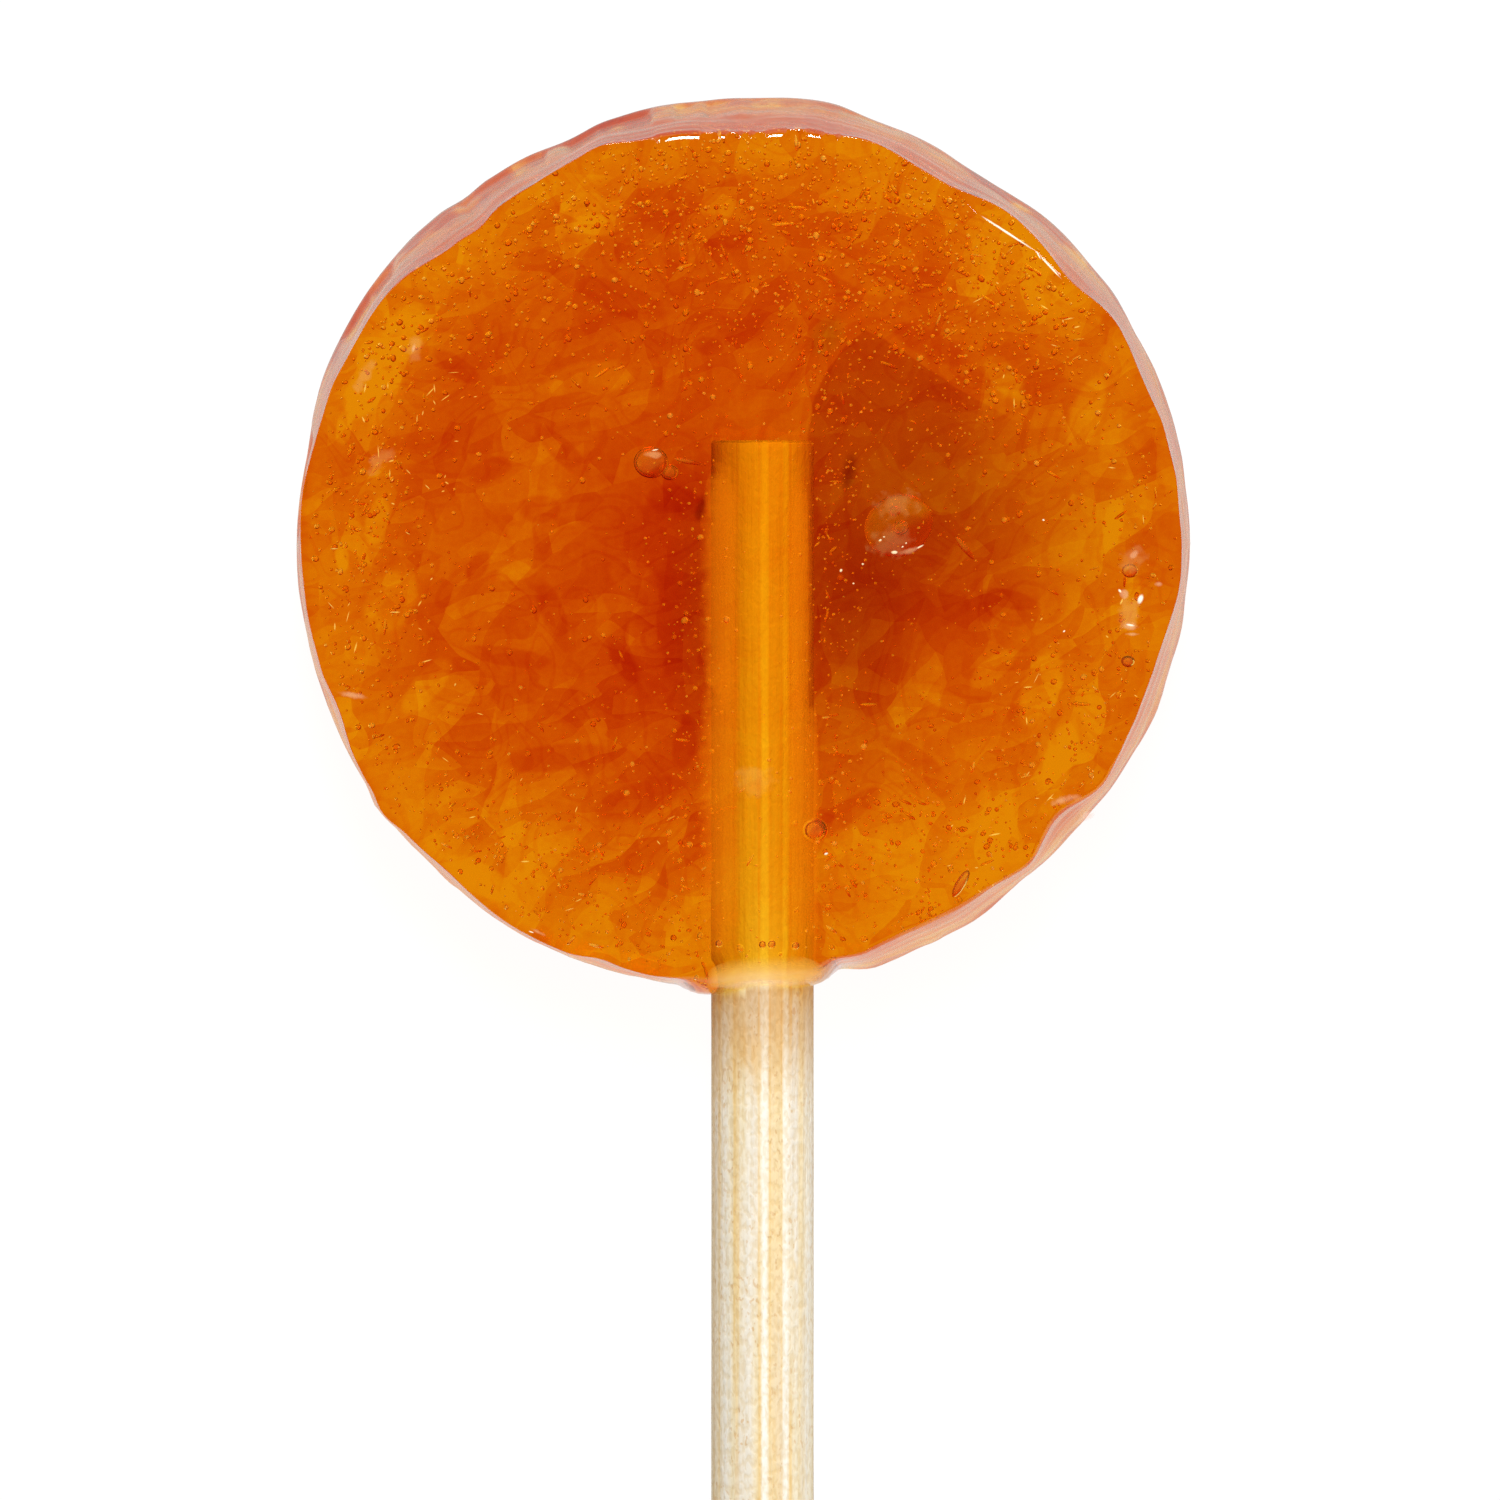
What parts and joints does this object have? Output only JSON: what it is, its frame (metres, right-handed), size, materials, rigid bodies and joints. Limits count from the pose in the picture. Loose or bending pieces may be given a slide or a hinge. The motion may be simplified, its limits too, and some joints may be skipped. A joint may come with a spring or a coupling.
{
  "type": "lollipop",
  "caption": "Flat round lollipop of clear amber boiled sugar on a round wooden stick, lying on its back.",
  "frame": {"origin": "middle of the sweet's flat back face, which it rests on", "axes": "+Z out of the sweet's front face, +Y towards its top, so the stick runs along -Y"},
  "size_m": [0.0433, 0.1164, 0.008],
  "materials": {
    "amber_sugar": "glossy clear amber sugar with fine bubbles",
    "pale_wood": "raw pale wood with a straight lengthwise grain"
  },
  "bodies": {
    "root": {"candy": "amber_sugar", "stick": "pale_wood"}
  },
  "joints": []
}
